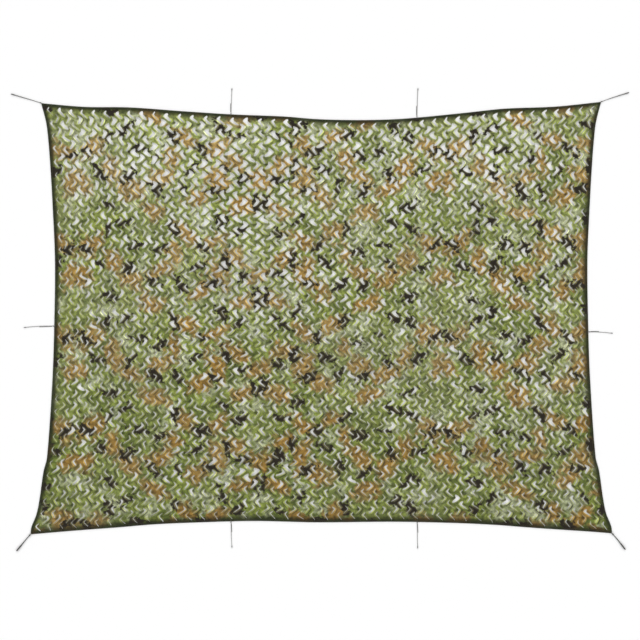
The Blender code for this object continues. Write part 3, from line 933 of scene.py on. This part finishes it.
def net_finish():
    """Matt printed cloth: plain-woven and faded in places, with painted shade where its cut edges curl and
    droop and along its stitched edges, painted light and shade for its ribbons' random tilts, and a painted
    highlight at its cut edges.
    """
    finish = Finish("printed_net_cloth", Sheen_Weight=0.1, Specular_IOR_Level=0.25)
    place = finish.place()
    weave = woven(finish, place)
    up = finish.part(place, 1)
    faded = ((finish.grain(place, 1.7, 3.0) - 0.40) * 2.2 + 0.15 * up + 0.1).held()
    # painted light and shade for the ribbons' random tilts
    uneven = ((finish.grain(place, 45.0, 3.0, 0.6) - 0.5) * 2.8 + 0.94).math("MAXIMUM", 0.30)
    fleck = finish.grain(place, 420.0, 2.0, 0.7)
    # how much painted shade each point has
    shade_share = finish.node("ShaderNodeAttribute", {"attribute_name": "creased"}, output=2)
    # how much painted highlight each point has
    highlight_share = finish.node("ShaderNodeAttribute", {"attribute_name": "pale"}, output=2)
    colour, black = printed(finish, place)
    colour = finish.blend(faded * 0.30, colour, FADED)
    # Painted light and shade: the ribbons' random tilts, the painted highlight at the cut edges, and brighter
    # towards the top.
    lit = uneven * (1 + 1.2 * highlight_share) * (1 + 0.10 * up)
    colour = finish.node("ShaderNodeVectorMath", {"operation": "SCALE"}, {0: colour, "Scale": lit})
    colour = finish.blend(fleck * 0.20, colour, (0.30, 0.30, 0.25), "MULTIPLY")
    # Painted shade: darkens the colour where the cut edges curl and droop and along the stitched edges.
    colour = finish.blend(shade_share * 0.9, colour, SHADE_MULTIPLIER, "MULTIPLY")
    colour = finish.blend(black, colour, NEAR_BLACK)
    # painted highlight at the cut edges
    colour = finish.blend(highlight_share, colour, HIGHLIGHT_COLOUR, "ADD")
    return finish.finished(colour, 0.1 * weave + 0.2 * fleck + 0.62, 0.6 * weave + 0.4 * fleck, 0.0003, 0.6)


net_material = net_finish()
points, kinds, creased, pale = net_mesh()
for band in range(BANDS):
    own = [faces[rows * BANDS // (ROWS + 1) == band] for faces, rows in kinds]
    used = np.unique(np.concatenate([faces.ravel() for faces in own]))
    faces = [face for same in own for face in np.searchsorted(used, same).tolist()]
    place = points[used]
    mesh = bpy.data.meshes.new(f"net_rows_{band + 1}")
    mesh.from_pydata(place.tolist(), [], faces)
    for name, values in (("creased", creased), ("pale", pale)):
        attribute = mesh.attributes.new(name, "FLOAT", "POINT")
        attribute.data.foreach_set("value", values[used].astype(np.float32))

    # The map: the band's left half above its right half, so that both have room.
    corner = np.concatenate(faces)
    sizes = np.array([len(face) for face in faces])
    middle_x = np.add.reduceat(place[corner, 0], totals(sizes)[:-1].astype(int)) / sizes
    on_right = np.repeat(middle_x > 0, sizes)
    low = place.min(0)
    reach = place.max(0) - low
    half_width = reach[0] / 2 + MAP_OVERLAP
    across = (place[corner, 0] - low[0] - np.where(on_right, reach[0] - half_width, 0)) / half_width
    down = (place[corner, 1] - low[1]) / reach[1]
    margined = MAP_MARGIN + (1 - 2 * MAP_MARGIN) * np.stack((across, down), 1)
    spots = np.stack((margined[:, 0], (margined[:, 1] + on_right) / 2), 1)
    mesh.uv_layers.new(name="OFBake").data.foreach_set("uv", spots.astype(np.float32).ravel())
    mesh.shade_smooth()
    mesh.materials.append(net_material)
    piece = placed(mesh.name, mesh)
    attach(piece, "root")
    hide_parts("net_cloth")
    area = min(sum(polygon.area for polygon in mesh.polygons), reach[0] * reach[1])

# Edge tape: a strip of much darker cloth in the same print, folded over each edge of the net, mitred at the
# corners and stitched through with a single row of olive thread near its inner edge.
TAPE_DEPTH = 0.016
TAPE_STEP = 0.010
CORNER_SHARE = 0.008  # of an edge, over which a corner's angle is taken
NEARBY = 0.001  # and over which its direction is
TAPE_PUCKER = 0.0003
PUCKER_LENGTH = 0.05
PUCKER_SEED = 20
TAPE_WANDER = 0.0006  # of its inner edge
TAPE_WANDER_LENGTH = 0.12
TAPE_WANDER_SEED = 30
STITCH_DEPTH = 0.0125
STITCH_LENGTH = 0.0042
STITCH_PITCH = 0.0056
STITCH_THREAD = 0.00035
STITCH_MARGIN = 0.02
STITCH_SHARES = (0.0, 0.15, 0.5, 0.85, 1.0)  # of its length, and the heights there
STITCH_HEIGHTS = (0.0036, 0.0043, 0.0045, 0.0043, 0.0036)
THREAD_SIDES = 6
# Round its section: pairs of the depth from its fold and the height.
TAPE_SECTION = (
    (0.0160, 0.0002), (0.0125, 0.0001), (0.0080, 0.0000), (0.0033, 0.0000), (0.0011, 0.0006),
    (0.0000, 0.0017), (0.0000, 0.0029), (0.0011, 0.0040), (0.0033, 0.0046), (0.0080, 0.0046),
    (0.0112, 0.0045), (0.0125, 0.0041), (0.0140, 0.0044), (0.0160, 0.0043), (0.0160, 0.0036),
    (0.0120, 0.0034), (0.0040, 0.0036), (0.0018, 0.0028), (0.0018, 0.0018), (0.0040, 0.0010),
    (0.0160, 0.0010),
)
THREAD_COLOUR = (0.060, 0.068, 0.035)


def tape_finish():
    """The net's print, several tones darker, rubbed paler in places, with its weave standing out more."""
    finish = Finish("edge_tape", Sheen_Weight=0.1, Specular_IOR_Level=0.25)
    place = finish.place()
    weave = woven(finish, place)
    rubbed = ((finish.grain(place, 22.0, 4.0) - 0.5) * 4).held()
    colour, black = printed(finish, place)
    colour = finish.blend(1.0, colour, (0.090, 0.100, 0.080), "MULTIPLY")
    colour = finish.blend(rubbed * 0.25, colour, (0.045, 0.058, 0.022))
    colour = finish.blend(black, colour, NEAR_BLACK)
    return finish.finished(colour, 0.15 * weave + 0.66, weave, 0.0004, 0.7)


def thread_finish():
    finish = Finish("stitching_thread", Specular_IOR_Level=0.35)
    twist = finish.grain(finish.place(), 900.0, 2.0, 0.7)
    colour = finish.blend(twist, THREAD_COLOUR, [2.2 * part for part in THREAD_COLOUR])
    return finish.finished(colour, 0.3 * twist + 0.45, twist, 0.0002, 0.6)


def edge_frame(edge, reach):
    """The points of an edge at these shares, and the way inward from it there."""
    along = edge.points(np.minimum(reach + NEARBY, 1)) - edge.points(np.maximum(reach - NEARBY, 0))
    inward = np.stack((-along[:, 1], along[:, 0]), 1) / np.linalg.norm(along, axis=1)[:, None]
    return edge.points(reach), inward * np.sign(inward @ edge.inward)[:, None]


def half_angle_at(corner):
    """Half the angle between the two edges that meet at this corner."""
    headings = []
    for edge in EDGES.values():
        for end, share in ((edge.first, CORNER_SHARE), (edge.second, 1 - CORNER_SHARE)):
            if np.allclose(end, corner):
                heading = edge.points(share)[0] - end
                headings.append(heading / np.linalg.norm(heading))
    return math.acos(headings[0].dot(headings[1])) / 2


def over_the_tape(edge, share, depth):
    """Where points lie on the tape, this share of the way along the line at this depth from its fold."""
    cuts = [(depth / math.tan(half_angle_at(end)) + GAP) / edge.length for end in (edge.first, edge.second)]
    reach = cuts[0] + (1 - cuts[0] - cuts[1]) * share
    spot, inward = edge_frame(edge, reach)
    return spot + inward * depth


tape_material = tape_finish()
thread_material = thread_finish()
for number, (side, edge) in enumerate(EDGES.items()):
    share = np.linspace(0, 1, math.ceil(edge.length / TAPE_STEP) + 1)
    lines = []
    for depth, height in TAPE_SECTION:
        spots = over_the_tape(edge, share, depth)
        lift = TAPE_PUCKER * ripple(*spots.T, PUCKER_LENGTH, PUCKER_SEED + number) * (height > TAPE_TOP / 2)
        wander = TAPE_WANDER * ripple(*spots.T, TAPE_WANDER_LENGTH, TAPE_WANDER_SEED + number)
        spots = spots + edge_frame(edge, share)[1] * (wander * depth / TAPE_DEPTH)[:, None]
        lines.append(np.column_stack((spots, np.maximum(height + lift, 0))))
    grid = np.stack(lines, 1)
    if np.cross(edge.second - edge.first, edge.inward) > 0:
        grid = grid[:, ::-1]
    tape = build_piece(f"tape_{side}", [grid], tape_material)
    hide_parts(f"binding_{side}")

    stitches = []
    for start in np.arange(STITCH_MARGIN, edge.length - STITCH_MARGIN, STITCH_PITCH):
        share = (start + STITCH_LENGTH * np.array(STITCH_SHARES)) / edge.length
        centre = np.column_stack((over_the_tape(edge, share, STITCH_DEPTH), STITCH_HEIGHTS))
        stitches.append(centre[:, None] + rings_round(centre, THREAD_SIDES)[1] * STITCH_THREAD)
    seam = build_piece(f"stitching_{side}", stitches, thread_material)

# Setting: a plain pale floor under soft, even light from four low lamps, one beyond each side of the net.
FLOOR_SIZE = 400.0
FLOOR_LEVEL = -0.0002
FLOOR_COLOUR = (0.93, 0.93, 0.93)
LAMPS = ((0, 1.40), (90, 1.05), (180, 0.85), (270, 0.95))  # degrees round from the top edge, and strength
LAMP_LEAN = 60
LAMP_SOFTNESS = 40
FILL_STRENGTH = 0.40

floor_mesh = bpy.data.meshes.new("floor")
corners = [(x * FLOOR_SIZE / 2, y * FLOOR_SIZE / 2, 0) for x, y in ((-1, -1), (1, -1), (1, 1), (-1, 1))]
floor_mesh.from_pydata(corners, [], [(0, 1, 2, 3)])
floor_finish = Finish("floor", Base_Color=(*FLOOR_COLOUR, 1.0), Roughness=0.9, Specular_IOR_Level=0.1)
floor_mesh.materials.append(floor_finish.material)
floor = placed("floor", floor_mesh)
floor.location.z = FLOOR_LEVEL

for turn, strength in LAMPS:
    lamp_data = bpy.data.lights.new(f"lamp_{turn}", "SUN")
    lamp_data.energy = strength
    lamp_data.angle = math.radians(LAMP_SOFTNESS)
    lamp = placed(lamp_data.name, lamp_data)
    lamp.rotation_euler = (math.radians(-LAMP_LEAN), 0, math.radians(turn))

world = bpy.data.worlds.new("studio")
world.use_nodes = True
background = world.node_tree.nodes["Background"]
background.inputs["Color"].default_value = (1.0, 1.0, 1.0, 1.0)
background.inputs["Strength"].default_value = FILL_STRENGTH
bpy.context.scene.world = world
bpy.context.scene.view_settings.view_transform = "Standard"
